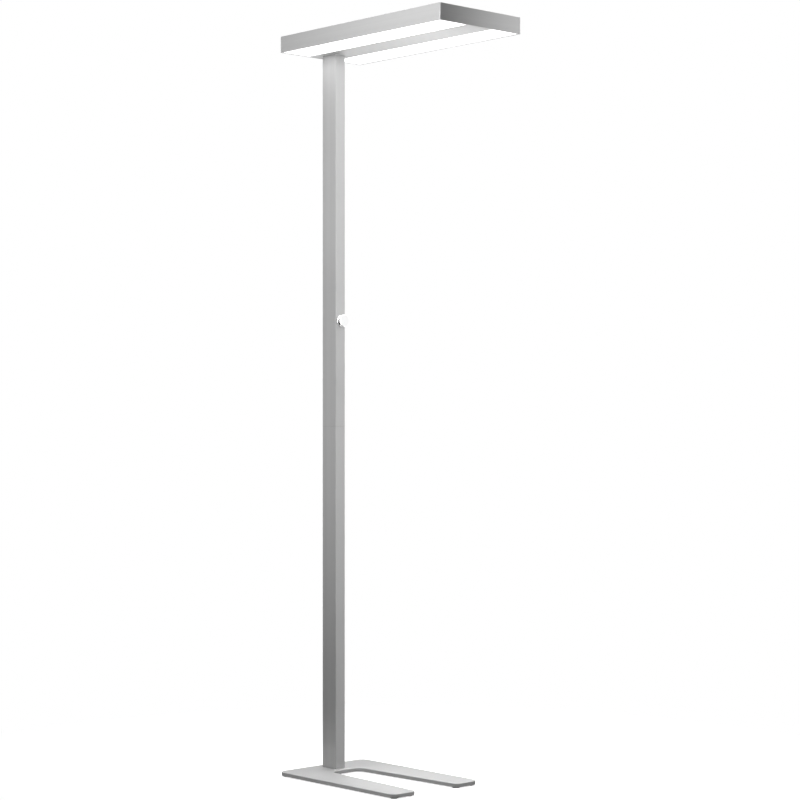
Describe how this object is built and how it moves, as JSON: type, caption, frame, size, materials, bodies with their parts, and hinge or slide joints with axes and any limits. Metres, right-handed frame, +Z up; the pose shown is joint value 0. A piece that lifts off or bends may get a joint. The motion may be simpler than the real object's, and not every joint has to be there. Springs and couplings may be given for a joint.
{
  "type": "office floor lamp",
  "caption": "Free-standing office lamp: forked steel base plate, rectangular two-piece column with a rotary push dimmer, flat head that lights down and up.",
  "frame": {"origin": "on the floor, below the middle of the lamp's box, which is the middle of the head", "axes": "+Z up; +X the way the head and the prongs of the base point, away from the column; Y across, and the lamp is the same on both sides of Y = 0"},
  "size_m": [0.61, 0.299, 1.95],
  "materials": {
    "base_paint": "fine-textured silver grey powder coat",
    "glide_rubber": "matt grey rubber",
    "fastener_steel": "zinc-plated steel",
    "column_anodised": "fine satin silver",
    "insert_metal": "plain milled",
    "black_plastic": "matt",
    "terminal_plastic": "matt, off-white",
    "polished_chrome": "polished",
    "circuit_board": "solder mask",
    "frame_brushed": "brushed along its length, anodised",
    "spine_satin": "satin silver",
    "opal_panel": "opal, satin, lit",
    "clear_cover": "clear, micro-prismatic",
    "tray_white": "matt white reflector paint",
    "driver_case": "plain sheet metal",
    "lead_sheath": "grey sheath"
  },
  "bodies": {
    "root": {"base_plate": "base_paint", "base_glides": "glide_rubber", "base_bolts": "fastener_steel", "column_foot": "insert_metal", "column_lower": "column_anodised", "column_upper": "column_anodised", "joint_sleeve": "insert_metal", "grub_screws": "fastener_steel", "inlet_grommet": "black_plastic", "mains_terminal": "terminal_plastic", "knob_collar": "polished_chrome", "encoder_housing": "black_plastic", "encoder_back": "black_plastic", "push_dome": "fastener_steel", "encoder_nut": "fastener_steel", "dimmer_board": "circuit_board", "rail_right": "frame_brushed", "rail_left": "frame_brushed", "rail_front": "frame_brushed", "rail_rear": "frame_brushed", "corner_keys": "insert_metal", "spine_channel": "spine_satin", "spine_strip": "spine_satin", "head_bracket": "insert_metal", "end_ties": "fastener_steel", "spine_bolts": "fastener_steel", "diffuser_right": "opal_panel", "diffuser_left": "opal_panel", "led_tray_right": "tray_white", "led_tray_left": "tray_white", "downlight_board_right": "tray_white", "downlight_board_left": "tray_white", "uplight_board_right": "tray_white", "uplight_board_left": "tray_white", "top_cover_right": "clear_cover", "top_cover_left": "clear_cover", "led_driver": "driver_case", "head_terminal": "terminal_plastic", "supply_lead": "lead_sheath", "control_lead": "lead_sheath"},
    "dial": {"encoder_rotor": "terminal_plastic"},
    "knob": {"dimmer_knob": "polished_chrome", "dimmer_shaft": "fastener_steel"}
  },
  "joints": [
    {"name": "knob_turn", "type": "hinge", "parent": "root", "child": "dial", "pos_m": [-0.22425, 0, 1.202], "axis": [1, 0, 0], "continuous": true},
    {"name": "knob_push", "type": "slide", "parent": "dial", "child": "knob", "axis": [-1, 0, 0], "range_m": [0, 0.0015], "stiffness_N_per_m": 2000, "springref_m": -0.0005}
  ]
}
